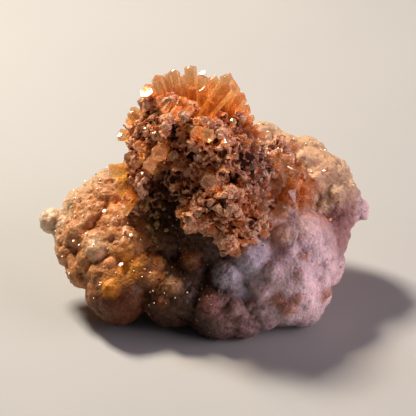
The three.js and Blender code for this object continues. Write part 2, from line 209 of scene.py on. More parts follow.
# The crystals in the hollow, on lumps of [across, up, near, radius]
POCKET_CENTRE = [9.6, 2.8, -1.6]
POCKET_BLEND = 0.5
POCKET_LUMPS = [
    [8.6, 7.0, -3.0, 2.3], [9.8, 4.4, -1.4, 2.7], [10.8, 1.8, -0.8, 2.6], [9.8, -0.8, 0.6, 2.4],
]
POCKET_SPRAYS = [([0.3, 0.1, 1], 66, 16, 2.9, 1.7), ([0.3, 0.1, 1], 80, 30, 1.5, 1.2)]

# Colours, as the share of red, green and blue light that comes back
ORANGE_PINK = (0.72, 0.28, 0.09)
CREAM = (0.70, 0.44, 0.25)
IVORY = (0.92, 0.70, 0.46)
# The boss's own amber, made brighter on its top as a painted highlight
HONEY_AND_HIGHLIGHT = (1.0, 0.33, 0.015)
# The boss's own amber brown, made near black on its underside as painted shade
AMBER_BROWN_AND_SHADE = (0.11, 0.018, 0.001)
# The middle front's own olive brown, made near black as the painted shadow of the club above
OLIVE_BROWN_AND_SHADOW = (0.045, 0.013, 0.003)
RUST = (0.44, 0.12, 0.04)
ROSE_WHITE = (0.98, 0.69, 0.72)
# White nodules under the club's lobe, made darker as painted shade
LAVENDER_WHITE_AND_SHADE = (0.54, 0.47, 0.55)
DUSK = (0.34, 0.18, 0.16)
PEACH = (0.76, 0.40, 0.22)
MAUVE = (0.31, 0.11, 0.10)
BRICK = (0.72, 0.19, 0.045)
SALMON = (0.98, 0.43, 0.20)
# The recess's own dark colour, made darker still as painted shade
UMBER_AND_SHADE = (0.05, 0.02, 0.006)

# Where things have which colour: a place, how far the colour reaches, and the colour
ROCK_TINTS = [
    ([-14, -1, 0], 5, ORANGE_PINK), ([-16, -7, 0], 4, ORANGE_PINK), ([-10, -5, 1], 3, ORANGE_PINK),
    ([-21.8, -1.4, -4], 2.4, IVORY), ([-18.6, 1.4, -5], 2.4, CREAM), ([-14.6, 4.6, -5], 2.4, CREAM),
    # Painted light on the boss: a painted highlight on its top and painted shade on its underside
    ([-14.6, -5.4, 1.5], 1.6, PEACH), ([-10.8, -7.6, 4], 2.6, HONEY_AND_HIGHLIGHT), ([-12, -12, 4], 4.2, AMBER_BROWN_AND_SHADE),
    # Painted shadow of the club on the middle front, and painted shade in the recess
    ([-5, -9, 3], 5.0, OLIVE_BROWN_AND_SHADOW), ([-3, -13, 3], 5.5, OLIVE_BROWN_AND_SHADOW), ([-5.5, -2, 3], 3.8, UMBER_AND_SHADE),
    ([0.4, -9.6, 4], 2.4, OLIVE_BROWN_AND_SHADOW), ([3.4, -14.4, 4], 3.0, DUSK), ([6.6, -12.6, 4], 1.2, DUSK),
    ([9.6, 0.4, 2.4], 1.3, RUST), ([13.2, -1.6, 1], 1.2, RUST), ([11.6, 8.4, -5], 1.4, RUST),
    # Painted shade on the white nodules under the club's lobe
    ([5.9, -6.7, 4], 2.2, LAVENDER_WHITE_AND_SHADE), ([3.0, -8.8, 5], 1.5, LAVENDER_WHITE_AND_SHADE),
    ([11, -9.6, 3], 4.4, ROSE_WHITE), ([12, -4, 1], 3.6, ROSE_WHITE),
    ([12, 3.5, -4], 4, PEACH), ([9.5, 9.5, -9], 3, CREAM), ([14.6, 8, -8], 3, CREAM),
    ([18, 3, -6], 2.6, CREAM), ([17.4, -1.4, -3], 2.8, MAUVE), ([15.6, -3.4, -1], 2.4, MAUVE),
    ([21, -0.4, -5.4], 1.6, ROSE_WHITE), ([0, 0, -14], 9, PEACH),
]

# Round nodules that stand out from the rock: [across, up], radius and colour
NODULES = [
    # Some nodules carry painted light: those under the lobe and low in the middle are darkened as painted
    # shade, and the one on the boss is brightened as a painted highlight
    ([-4.7, -10.4], 0.9, (0.48, 0.22, 0.08)), ([-2.2, -6.9], 1.1, (0.36, 0.13, 0.04)),
    ([-7.1, -9.5], 1.0, ORANGE_PINK), ([-6.7, -7.6], 0.8, ORANGE_PINK), ([-5.9, -12.6], 0.8, AMBER_BROWN_AND_SHADE),
    ([5.4, -6.8], 1.7, LAVENDER_WHITE_AND_SHADE), ([2.7, -8.8], 1.4, LAVENDER_WHITE_AND_SHADE),
    ([0.6, -13.0], 1.2, MAUVE), ([3.4, -13.4], 1.3, DUSK), ([4.5, -11.2], 1.0, LAVENDER_WHITE_AND_SHADE),
    ([-14.9, -5.6], 1.4, (0.86, 0.52, 0.26)), ([-16.6, -6.9], 1.0, ORANGE_PINK),
    ([-13.2, -7.6], 0.9, ORANGE_PINK), ([-12.6, -3.6], 1.0, ORANGE_PINK),
    ([-16.3, -2.0], 1.1, ORANGE_PINK), ([-13.0, -10.6], 1.0, HONEY_AND_HIGHLIGHT),
    ([10.6, -13.0], 1.0, RUST), ([9.3, -12.0], 0.8, RUST), ([11.9, -12.0], 0.7, RUST),
    ([15.6, -11.2], 1.1, RUST), ([8.3, -9.6], 0.6, RUST), ([12.6, -6.4], 0.6, RUST),
    ([15.6, -7.9], 1.4, ROSE_WHITE), ([15.3, -9.6], 1.0, ROSE_WHITE), ([10.0, -3.6], 1.3, PEACH),
    ([7.6, -11.0], 1.1, ROSE_WHITE), ([13.2, -12.6], 1.0, ROSE_WHITE), ([12.4, -9.4], 1.3, ROSE_WHITE),
    ([8.8, -8.4], 1.2, ROSE_WHITE), ([11.0, -6.0], 1.1, ROSE_WHITE), ([14.6, 3.6], 1.3, PEACH),
    ([15.2, 0.4], 1.2, CREAM), ([17.3, 1.8], 1.2, CREAM), ([13.0, 6.4], 1.3, CREAM),
]

# The colours of the club's dust, of its crystals and of those in the hollow, as for the rock
CLUB_TINTS = [
    ([-2, 14, 5], 6, BRICK), ([-2, 8, 9], 4, SALMON), ([3, 1, 9], 4, BRICK), ([-7, 9, 5], 4, SALMON),
    # The recess in the club's left front is darkened partly by its own colour, partly by painted shade
    ([6, 6, 4], 4.6, MAUVE), ([-5.5, 2.2, 4.8], 3.4, UMBER_AND_SHADE), ([-9, 6, 3], 3, BRICK),
    ([0, 4, -8], 6, BRICK), ([3, -4, 7], 3, SALMON), ([0, 4, 8], 3, BRICK), ([10, 3, 0], 3, PEACH),
]
CRYSTAL_TINTS = [
    ([-2, 16, 5], 5, (0.94, 0.53, 0.16)), ([-6.4, 15, 5], 2.2, (0.94, 0.54, 0.32)),
    # The yellow-orange at the broad blade is partly its own amber, partly a painted glow
    ([0.5, 13, 7], 1.8, (1.0, 0.62, 0.05)), ([-12, 4.6, 4], 2.6, (0.9, 0.82, 0.26)),
    ([-11.5, 2.4, 4], 1.8, (0.92, 0.42, 0.1)), ([-11.4, 0, 4.6], 1.5, (0.8, 0.72, 0.3)),
    ([-10, 12, 4], 2.5, (0.90, 0.72, 0.42)), ([-7, 7, 7], 3, (0.92, 0.58, 0.32)),
    ([0, 9.6, 9.4], 2.5, (0.94, 0.58, 0.22)), ([0, 3, 9], 3, (0.90, 0.55, 0.34)),
    ([-7, -2.6, 4], 2.0, (0.86, 0.68, 0.06)), ([5, -3, 8], 3, (0.88, 0.5, 0.26)),
    ([7, 5, 5], 3.4, (0.62, 0.31, 0.24)), ([0, 5, -8], 7, (0.95, 0.58, 0.26)),
]
POCKET_TINTS = [
    # The bright orange in the hollow's middle is partly the crystals' amber, partly a painted glow
    ([9.5, 5, 1], 3, (0.44, 0.20, 0.10)), ([10.4, 3, 1], 2, (0.95, 0.38, 0.03)),
    ([10, -1, 2], 2, (0.58, 0.38, 0.20)),
]

# Faces that flash in the photograph: [across, up, near] and size on the club's edge, and
# [across, up] and size elsewhere
FLASHES = [([-8.1, 15.4, 6.2], 1.9), ([-0.7, 17.9, 6.2], 1.0), ([-11.7, 9.7, 5.6], 0.8)]
GLINTS = [
    ([-14.0, -0.4], 0.7), ([-18.1, -4.4], 0.4), ([-16.4, -3.4], 0.4), ([-11.2, -3.0], 0.5),
    ([-10.3, -3.6], 0.6), ([-11.6, -7.5], 0.7), ([-8.8, 4.6], 0.5), ([-5.6, -2.9], 0.7),
    ([-6.9, -2.6], 0.4), ([-9.9, -1.5], 0.6), ([8.9, 6.8], 0.5), ([16.5, -1.5], 0.6),
    ([15.7, 5.1], 0.5), ([7.0, 11.6], 0.5), ([11.1, -13.2], 0.4), ([8.3, -12.3], 0.4),
    ([-4.3, 13.6], 0.4), ([-7.1, 10.0], 0.6), ([-6.3, 7.6], 0.4), ([-8.4, 10.6], 0.5),
]
# How many tiny sparkles are strewn over the rock and the club, and their sizes
ROCK_SPARKLES = 320
CLUB_SPARKLES = 130
SPARKLE_SIZES = (0.12, 0.26)


def seen(places):
    """Places given as [across, up, near], in the row frame, in millimetres."""
    return VIEW_MIDDLE + turned(places)


def turned(directions):
    """Directions given as [across, up, near], in the row frame."""
    across, up, near = np.moveaxis(np.asarray(directions, float), -1, 0)
    along = up * math.sin(VIEW_TILT) - near * math.cos(VIEW_TILT)
    height = up * math.cos(VIEW_TILT) + near * math.sin(VIEW_TILT)
    return np.stack([across, along, height], -1)


def unit(vectors):
    return vectors / np.linalg.norm(vectors, axis=-1, keepdims=True)


# Noise that repeats from run to run

def cell_values(cells, seed):
    """A repeatable random number from 0 to 1 for each whole-number cell."""
    x, y, z = (cells[..., i].astype(np.int64) for i in range(3))
    mixed = (x * 73856093) ^ (y * 19349663) ^ (z * 83492791) ^ (seed * 2654435761)
    mixed = ((mixed ^ (mixed >> 13)) * 1274126177) & 0xFFFFFFFF
    mixed = ((mixed ^ (mixed >> 16)) * 2246822519) & 0xFFFFFFFF
    return (mixed ^ (mixed >> 15)) / 2**32


def swells(points, size, seed):
    """Smooth noise from -1 to 1, with swells about as wide as size."""
    scaled = points / size
    corner = np.floor(scaled)
    share = scaled - corner
    share = share * share * (3 - 2 * share)
    total = np.zeros(len(points))
    for i in range(8):
        step = np.array([i & 1, i >> 1 & 1, i >> 2 & 1])
        weight = np.prod(np.where(step, share, 1 - share), axis=1)
        total += weight * cell_values(corner + step, seed)
    return 2 * total - 1


def ridges(points, size, seed):
    """Winding sharp ridges from -1 to 1, about size apart."""
    return 1 - 4 * np.abs(swells(points, size, seed))


def knobs(points, size, seed):
    """Round knobs, about size apart: 1 on top of a knob, falling to 0 in the creases between."""
    cell = np.floor(points / size)
    nearest = np.full(len(points), np.inf)
    for i in range(27):
        corner = cell + np.array([i % 3 - 1, i // 3 % 3 - 1, i // 9 - 1])
        jitter = np.stack([cell_values(corner, seed + k) for k in range(3)], -1)
        away = np.linalg.norm((corner + jitter) * size - points, axis=1)
        nearest = np.minimum(nearest, away)
    return np.sqrt(np.clip(1 - (nearest / size) ** 2, 0, 1))


# Lumps and surfaces

def lump_field(points, lumps, blend):
    """Distance to the smooth union of the lumps: below zero inside."""
    lumps = np.asarray(lumps)
    centres = seen(lumps[:, :3])
    away = np.linalg.norm(points[:, None] - centres[None], axis=2)
    return -blend * np.log(np.exp((lumps[:, 3] - away) / blend).sum(1))


def reach(directions, lumps, blend, middle):
    """How far the lumps reach from their middle, along each direction."""
    far = np.full(len(directions), FARTHEST)
    for _ in range(STEPS_INWARDS):
        far -= np.minimum(lump_field(middle + directions * far[:, None], lumps, blend), far)
    return far


def outward(points, lumps, blend):
    """The way out of the lumps, square to their surface."""
    step = 0.05
    change = [
        lump_field(points + step * axis, lumps, blend) - lump_field(points - step * axis, lumps, blend)
        for axis in np.eye(3)
    ]
    return unit(np.stack(change, -1))


def tint_at(points, tints):
    """The colour at each point, from the coloured places around it."""
    middles = seen([t[0] for t in tints])
    reaches = np.array([t[1] for t in tints], float)
    colours = np.array([t[2] for t in tints])
    away = np.linalg.norm(points[:, None] - middles[None], axis=2) / reaches
    weights = np.exp(-1.3 * away) / (0.2 + away**2)
    return weights @ colours / weights.sum(1, keepdims=True)


def paler(tints, share):
    """The tints, each a share of the way to the grey that is as bright as its strongest part."""
    return [
        (place, size, tuple(c + share * (max(colour) - c) for c in colour))
        for place, size, colour in tints
    ]


def ball(cuts):
    """Verts and faces of an icosphere of radius 1."""
    shape = bmesh.new()
    bmesh.ops.create_icosphere(shape, subdivisions=cuts, radius=1)
    verts = np.array([v.co[:] for v in shape.verts])
    faces = np.array([[v.index for v in f.verts] for f in shape.faces])
    shape.free()
    return verts, faces


def new_mesh(name, verts, faces):
    mesh = bpy.data.meshes.new(name)
    mesh.from_pydata((np.asarray(verts) * MM).tolist(), [], np.asarray(faces).tolist())
    return mesh


def merged(shapes, voxel):
    """One closed fine mesh around many closed shapes: its verts, four-sided faces and edges."""
    start = np.cumsum([0] + [len(verts) for verts, faces in shapes])
    verts = np.concatenate([verts for verts, faces in shapes])
    faces = np.concatenate([faces + s for s, (v, faces) in zip(start, shapes)])
    solid = bpy.data.objects.new("shapes", new_mesh("shapes", verts, faces))
    bpy.context.scene.collection.objects.link(solid)
    remesh = solid.modifiers.new("voxels", "REMESH")
    remesh.mode = "VOXEL"
    remesh.voxel_size = voxel * MM
    fine = bpy.data.meshes.new_from_object(solid.evaluated_get(bpy.context.evaluated_depsgraph_get()))
    bpy.data.objects.remove(solid)
    verts = np.empty(len(fine.vertices) * 3)
    fine.vertices.foreach_get("co", verts)
    edges = np.empty(len(fine.edges) * 2, int)
    fine.edges.foreach_get("vertices", edges)
    faces = np.array([tuple(p.vertices) for p in fine.polygons])
    bpy.data.meshes.remove(fine)
    return verts.reshape(-1, 3) / MM, faces, edges.reshape(-1, 2)


def smoothed(values, edges, rounds):
    """The values, evened out along the edges of a mesh."""
    size = len(values)
    first, second = edges.T
    counts = np.bincount(edges.ravel(), minlength=size)[:, None]
    for _ in range(rounds):
        total = np.stack([
            np.bincount(first, column[second], size) + np.bincount(second, column[first], size)
            for column in values.T
        ], -1)
        values = 0.5 * values + 0.5 * total / counts
    return values


def vertex_normals(verts, faces):
    """The way out at each vertex of four-sided faces."""
    flat = np.cross(verts[faces[:, 2]] - verts[faces[:, 0]], verts[faces[:, 3]] - verts[faces[:, 1]])
    total = np.zeros_like(verts)
    for corner in faces.T:
        for axis in range(3):
            total[:, axis] += np.bincount(corner, flat[:, axis], len(verts))
    return unit(total + 1e-9)


def relief(verts, faces, edges, wide, narrow):
    """1 on what stands out, 0.5 on the level and 0 in the hollows; wide and narrow weigh two sizes."""
    normals = vertex_normals(verts, faces)
    coarse = smoothed(verts, edges, rounds=60)
    fine = smoothed(verts, edges, rounds=6)
    height = ((verts - coarse) * wide + (verts - fine) * narrow) * normals
    return np.clip(0.5 + height.sum(1), 0, 1)


def spots_on(verts, faces, count, rng, wanted=None):
    """Random spots on a mesh and the way out there; wanted weighs each face."""
    a, b, c = (verts[faces[:, i]] for i in range(3))
    cross = np.cross(b - a, c - a)
    weight = np.linalg.norm(cross, axis=1)
    if wanted is not None:
        weight = weight * wanted((a + c) / 2, unit(cross + 1e-12))
    chosen = rng.choice(len(faces), count, p=weight / weight.sum())
    first, second = rng.random((2, count, 1))
    spots = a[chosen] + first * (b - a)[chosen] + second * (c - b)[chosen]
    return spots, unit(cross[chosen])


# Pieces

def new_piece(name, verts, faces, material, smooth=False):
    """A mesh in the row frame from places in millimetres, riding on the one body."""
    mesh = new_mesh(name, verts, faces)
    mesh.materials.append(material)
    mesh.polygons.foreach_set("use_smooth", [smooth] * len(mesh.polygons))
    piece = bpy.data.objects.new(name, mesh)
    bpy.context.scene.collection.objects.link(piece)
    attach(piece, "root")
    return piece


def give(piece, name, values):
    """Stores one number, or one vector, for each vertex."""
    values = np.asarray(values, np.float32)
    kind = "FLOAT" if values.ndim == 1 else "FLOAT_VECTOR"
    attribute = piece.data.attributes.new(name, kind, "POINT")
    attribute.data.foreach_set("value" if values.ndim == 1 else "vector", values.ravel())


# Crystals: six-sided prisms that widen outwards and end in a gable

SECTION = np.array([[1, 0], [0.5, 1], [-0.5, 1], [-1, 0], [-0.5, -1], [0.5, -1]]) / 2
CRYSTAL_FACES = np.array(
    [(i, (i + 1) % 6, 6 + (i + 1) % 6) for i in range(6)]
    + [(i, 6 + (i + 1) % 6, 6 + i) for i in range(6)]
    + [(5, 4, 3), (5, 3, 2), (5, 2, 1), (5, 1, 0)]
    + [(7, 13, 6), (7, 8, 13), (8, 12, 13), (8, 9, 12)]
    + [(9, 10, 12), (10, 11, 12), (11, 13, 12), (11, 6, 13)]
)
PLATE_FACES = np.array(
    [(6 + i, 6 + (i + 1) % 6, (i + 1) % 6) for i in range(6)]
    + [(6 + i, (i + 1) % 6, i) for i in range(6)]
    + [(0, 1, 2), (0, 2, 3), (0, 3, 4), (0, 4, 5)]
    + [(8, 7, 6), (9, 8, 6), (10, 9, 6), (11, 10, 6)]
)


# Shape of one crystal, as shares of its width: from, to
THICKNESS = (0.6, 0.85)
GABLE_HEIGHT = (0.15, 0.45)
RAGGED = (-0.12, 0.12)
RIDGE_OFFSET = (-0.2, 0.2)
ROOT_SHARE = 0.65  # how narrow the buried root is

# How many corners a crystal and a plate have, and how thick a plate is
CRYSTAL_CORNERS = 14
PLATE_CORNERS = 12
PLATE_THICKNESS = 0.15


def crystal_shapes(widths, lengths, depths, rng):
    """The corners of each crystal, standing on the origin along +Z."""
    count = len(widths)
    thickness = widths * rng.uniform(*THICKNESS, count)
    verts = np.zeros((count, CRYSTAL_CORNERS, 3))
    scale = np.stack([widths, thickness], -1)[:, None]
    verts[:, :6, :2] = SECTION * scale * ROOT_SHARE
    verts[:, :6, 2] = -depths[:, None]
    verts[:, 6:12, :2] = SECTION * scale
    shoulder = np.maximum(lengths - widths * rng.uniform(*GABLE_HEIGHT, count), 0.1 * lengths)
    ragged = rng.uniform(*RAGGED, (count, 6)) * widths[:, None]
    verts[:, 6:12, 2] = shoulder[:, None] + ragged
    lean = widths * rng.uniform(*RIDGE_OFFSET, count)
    for i, side in ((12, -1), (13, 1)):
        verts[:, i, 0] = lean
        verts[:, i, 1] = side * thickness / 4
        verts[:, i, 2] = lengths
    return verts


def axes_along(directions, spins):
    """Three axes for each direction, the third along it, turned about it by a spin."""
    helper = np.where(np.abs(directions[:, 2:]) < 0.9, [[0.0, 0, 1]], [[1.0, 0, 0]])
    x = unit(np.cross(helper, directions))
    y = np.cross(directions, x)
    cos, sin = np.cos(spins)[:, None], np.sin(spins)[:, None]
    return np.stack([x * cos + y * sin, y * cos - x * sin, directions], 1)


def stood(local, spots, directions, spins):
    """Shapes that stand on the origin, moved to their spots."""
    return spots[:, None] + np.einsum("nvk,nkj->nvj", local, axes_along(directions, spins))


def repeated(faces, verts_each, count):
    return (faces[None] + verts_each * np.arange(count)[:, None, None]).reshape(-1, faces.shape[1])


def crystals_piece(name, stand, rng, material, tints):
    """Many crystals as one mesh: stand holds spots, directions, widths, lengths, depths, spins."""
    spots, directions, widths, lengths, depths, spins = stand
    local = crystal_shapes(widths, lengths, depths, rng)
    count = len(spots)
    verts = stood(local, spots, directions, spins).reshape(-1, 3)
    piece = new_piece(name, verts, repeated(CRYSTAL_FACES, CRYSTAL_CORNERS, count), material)
    rise = (local[:, :, 2] + depths[:, None]) / (lengths + depths)[:, None]
    give(piece, "rise", rise.ravel())
    shift = rng.uniform(0, 50, (count, 1, 3))
    give(piece, "local", ((local + shift) * MM).reshape(-1, 3))
    colours = tint_at(spots, tints) * rng.uniform(0.8, 1.15, (count, 1))
    give(piece, "tint", np.repeat(colours, CRYSTAL_CORNERS, 0))
    return piece


def bevelled(piece, width):
    """Bevels the piece's edges narrowly."""
    bevel = piece.modifiers.new("edges", "BEVEL")
    bevel.width = width * MM
    bevel.segments = 1
    bevel.limit_method = "ANGLE"
    bevel.angle_limit = math.radians(20)
    mesh = bpy.data.meshes.new_from_object(piece.evaluated_get(bpy.context.evaluated_depsgraph_get()))
    piece.modifiers.clear()
    piece.data = mesh


def spiral_cap(face, spread, count):
    """Directions spread evenly over a cap that faces one way."""
    axis = unit(turned(face))
    height = 1 - (1 - math.cos(math.radians(spread))) * (np.arange(count) + 0.5) / count
    ring = np.sqrt(1 - height**2)
    around = np.arange(count) * math.pi * (3 - math.sqrt(5))
    local = np.stack([ring * np.cos(around), ring * np.sin(around), height], -1)
    axes = axes_along(np.repeat(axis[None], count, 0), np.zeros(count))
    return np.einsum("nk,nkj->nj", local, axes)


def spray(face, spread, count, width, length, lumps, blend, centre, rng):
    """One spray of crystals: spots, directions, widths, lengths, depths, spins."""
    directions = spiral_cap(face, spread, count)
    middle = seen(centre)
    spots = middle + directions * reach(directions, lumps, blend, middle)[:, None]
    leaning = unit(directions + rng.uniform(-0.25, 0.25, (count, 3)))
    widths = width * rng.uniform(0.8, 1.2, count)
    lengths = length * rng.uniform(0.8, 1.2, count)
    return spots, leaning, widths, lengths, widths, rng.uniform(0, math.pi, count)


def facing_spins(directions):
    """The spin that turns each crystal's broad side to the eye."""
    eye = turned([0, 0, 1])
    axes = axes_along(directions, np.zeros(len(directions)))
    return np.arctan2(axes[:, 1] @ eye, axes[:, 0] @ eye) + math.pi / 2


def single_crystals():
    """The crystals that are placed one by one."""
    roots = seen([c[0] for c in CLUB_CRYSTALS])
    tips = seen([c[1] for c in CLUB_CRYSTALS])
    widths = np.array([c[2] for c in CLUB_CRYSTALS])
    lengths = np.linalg.norm(tips - roots, axis=1)
    directions = (tips - roots) / lengths[:, None]
    return roots, directions, widths, lengths, widths / 4, facing_spins(directions)


def crown_fillers(rng):
    """Crystals that fill the crown's fan between and behind those placed one by one."""
    count = 18
    angle = np.radians(np.linspace(*CROWN_FAN, count) + rng.uniform(-9, 9, count))
    near = rng.uniform(-0.6, 0.25, count)
    directions = unit(turned(np.stack([np.sin(angle), np.cos(angle), near], -1)))
    roots = seen(CROWN_MIDDLE) + directions * CROWN_ROOT
    tips = CROWN_TIP * rng.uniform(0.66, 0.95, count) - 0.9 * np.abs(angle)
    widths = rng.uniform(0.9, 2.3, count)
    return roots, directions, widths, tips - CROWN_ROOT, widths / 4, facing_spins(directions)


def stuck_on(spots, normals, widths, lengths, lean, rng):
    """Crystals that stand on spots, leaning off the normals at random."""
    count = len(spots)
    directions = unit(normals + lean * rng.normal(size=(count, 3)))
    width = rng.uniform(*widths, count) * rng.uniform(0.7, 1, count)
    length = rng.uniform(*lengths, count) * rng.uniform(0.7, 1, count)
    roots = spots - normals * width[:, None] * STREWN_SINK
    return roots, directions, width, length, width, rng.uniform(0, math.pi, count)


def joined(*stands):
    return [np.concatenate([s[i] for s in stands]) for i in range(6)]


# Materials

class Nodes:
    """Short ways to add nodes to a new material."""

    def __init__(self, name):
        self.material = bpy.data.materials.new(name)
        self.material.use_nodes = True
        self.tree = self.material.node_tree
        self.principled = self.tree.nodes["Principled BSDF"]
        self.output = self.tree.nodes["Material Output"]

    def add(self, kind, **settings):
        node = self.tree.nodes.new(kind)
        for key, value in settings.items():
            setattr(node, key, value)
        return node

    def join(self, source, target):
        self.tree.links.new(source, target)

    def value(self, name):
        """A number stored for each vertex."""
        return self.add("ShaderNodeAttribute", attribute_name=name).outputs["Fac"]

    def vector(self, name):
        return self.add("ShaderNodeAttribute", attribute_name=name).outputs["Vector"]

    def place(self):
        return self.add("ShaderNodeTexCoord").outputs["Object"]

    def noise(self, size, detail=3, vector=None):
        """Noise from 0 to 1 whose swells are about size millimetres wide."""
        node = self.add("ShaderNodeTexNoise")
        node.inputs["Scale"].default_value = 1 / (size * MM)
        node.inputs["Detail"].default_value = detail
        node.inputs["Roughness"].default_value = 0.55
        self.join(vector or self.place(), node.inputs["Vector"])
        return node.outputs["Fac"]

    def grains(self, size):
        """Cells about size millimetres apart, with the distance to the middle and a colour each."""
        node = self.add("ShaderNodeTexVoronoi")
        node.inputs["Scale"].default_value = 1 / (size * MM)
        self.join(self.place(), node.inputs["Vector"])
        return node

    def ramp(self, source, *stops):
        """Colours or greys along a value: each stop is a place and a colour."""
        node = self.add("ShaderNodeValToRGB")
        elements = node.color_ramp.elements
        while len(elements) < len(stops):
            elements.new(0.5)
        for element, (position, colour) in zip(elements, stops):
            element.position = position
            element.color = (*colour, 1) if np.ndim(colour) else (colour, colour, colour, 1)
        self.join(source, node.inputs["Fac"])
        return node.outputs["Color"]

    def mix(self, share, first, second, blend="MIX"):
        """Two colours, or links to them, mixed by a number or by a link to one."""
        node = self.add("ShaderNodeMix", data_type="RGBA", blend_type=blend)
        for index, value in ((0, share), (6, first), (7, second)):
            if isinstance(value, bpy.types.NodeSocket):
                self.join(value, node.inputs[index])
            else:
                node.inputs[index].default_value = (*value, 1) if np.ndim(value) else value
        return node.outputs[2]

    def toned(self, colour, power):
        """The colour raised to a power: paler below 1, deeper above."""
        node = self.add("ShaderNodeGamma")
        node.inputs["Gamma"].default_value = power
        self.join(colour, node.inputs["Color"])
        return node.outputs["Color"]

    def sum(self, first, second, share):
        """first + share * second"""
        node = self.add("ShaderNodeMath", operation="MULTIPLY_ADD")
        self.join(second, node.inputs[0])
        node.inputs[1].default_value = share
        self.join(first, node.inputs[2])
        return node.outputs[0]

    def bump(self, height, depth, strength=1.0):
        node = self.add("ShaderNodeBump")
        node.inputs["Distance"].default_value = depth * MM
        node.inputs["Strength"].default_value = strength
        self.join(height, node.inputs["Height"])
        self.join(node.outputs["Normal"], self.principled.inputs["Normal"])

    def colour(self, source):
        self.join(source, self.principled.inputs["Base Color"])

    def roughness(self, source):
        self.join(source, self.principled.inputs["Roughness"])

    def set(self, **values):
        for key, value in values.items():
            self.principled.inputs[key.replace("_", " ")].default_value = value

    def absorb(self, colour, density):
        node = self.add("ShaderNodeVolumeAbsorption")
        node.inputs["Color"].default_value = (*colour, 1)
        node.inputs["Density"].default_value = density
        self.join(node.outputs["Volume"], self.output.inputs["Volume"])

    def shader_mix(self, share, first, second):
        """Two shaders mixed by a number, or by a link to one."""
        node = self.add("ShaderNodeMixShader")
        if isinstance(share, bpy.types.NodeSocket):
            self.join(share, node.inputs[0])
        else:
            node.inputs[0].default_value = share
        self.join(first, node.inputs[1])
        self.join(second, node.inputs[2])
        return node.outputs[0]

    def let_light_through(self, colour, share):
        """Light glows through from behind, and shadows are tinted, not black."""
        glow = self.add("ShaderNodeBsdfTranslucent")
        self.join(colour, glow.inputs["Color"])
        body = self.shader_mix(share, self.principled.outputs[0], glow.outputs[0])
        clear = self.add("ShaderNodeBsdfTransparent")
        self.join(self.mix(0.75, colour, (0.84, 0.83, 0.70)), clear.inputs["Color"])
        shading = self.add("ShaderNodeLightPath").outputs["Is Shadow Ray"]
        shader = self.shader_mix(shading, body, clear.outputs[0])
        self.join(shader, self.output.inputs["Surface"])


def rock_material():
    """Sugary rock, coloured by its place, with painted shade in its creases, a painted highlight on what
    stands out, rusty specks and frosty grains.
    """
    n = Nodes("sugary_rock")
    patches = n.ramp(n.noise(2.2, detail=5), (0.3, 0.62), (0.5, 0.95), (0.7, 1.0))
    tint = n.vector("tint")
    base = n.mix(1.0, tint, patches, "MULTIPLY")
    sugar = n.grains(0.4)
    pale = n.toned(tint, 0.72)
    frost = n.ramp(n.noise(0.7, detail=4), (0.44, 0.0), (0.66, 0.7))
    base = n.mix(frost, base, pale)
    # Painted highlight: what stands out is paler
    base = n.mix(n.ramp(n.value("relief"), (0.5, 0.0), (0.9, 0.5)), base, pale)
    # Painted shade: the creases are darker
    crease = n.mix(1.0, n.toned(tint, 1.5), (0.6, 0.6, 0.6), "MULTIPLY")
    base = n.mix(n.ramp(n.value("relief"), (0.12, 0.9), (0.44, 0.0)), base, crease)
    speckle = n.ramp(n.noise(0.5, detail=2), (0.66, 0.0), (0.72, 0.8))
    base = n.mix(speckle, base, (0.60, 0.32, 0.2), "MULTIPLY")
    shade = n.ramp(sugar.outputs["Color"], (0.15, 0.78), (0.85, 1.0))
    n.colour(n.mix(1.0, base, shade, "MULTIPLY"))
    n.roughness(n.ramp(n.noise(0.35), (0.35, 0.35), (0.65, 0.75)))
    n.bump(n.sum(n.noise(0.22, detail=3), sugar.outputs["Distance"], share=-1.1), depth=0.1)
    n.set(IOR=1.46, Specular_IOR_Level=0.25, Subsurface_Weight=0.5, Subsurface_Scale=0.0008)
    n.set(Coat_Weight=0.15, Coat_Roughness=0.25)
    n.principled.inputs["Subsurface Radius"].default_value = (1.0, 0.35, 0.15)
    return n.material


def dust_material():
    """Brick-red granular dust, with a painted highlight on its high spots and painted shade in its pits.
    """
    n = Nodes("red_dust")
    patches = n.ramp(
        n.noise(1.8, detail=5), (0.32, (0.5, 0.36, 0.3)), (0.5, (1, 1, 1)), (0.66, (1.25, 1.4, 1.4)),
    )
    base = n.mix(1.0, n.vector("tint"), patches, "MULTIPLY")
    # Painted highlight: the high spots are pale salmon
    base = n.mix(n.ramp(n.value("relief"), (0.58, 0.0), (0.86, 0.85)), base, (1.0, 0.58, 0.36))
    # Painted shade: the pits are near black
    base = n.mix(n.ramp(n.value("relief"), (0.2, 0.97), (0.52, 0.0)), base, (0.06, 0.012, 0.004))
    crumbs = n.grains(0.3)
    shade = n.ramp(crumbs.outputs["Color"], (0.2, 0.7), (0.8, 1.0))
    n.colour(n.mix(1.0, base, shade, "MULTIPLY"))
    n.roughness(n.ramp(n.noise(0.3), (0.35, 0.3), (0.65, 0.85)))
    n.bump(n.sum(n.noise(0.18, detail=3), crumbs.outputs["Distance"], share=-1.0), depth=0.14)
    n.set(IOR=1.5, Specular_IOR_Level=0.25)
    return n.material


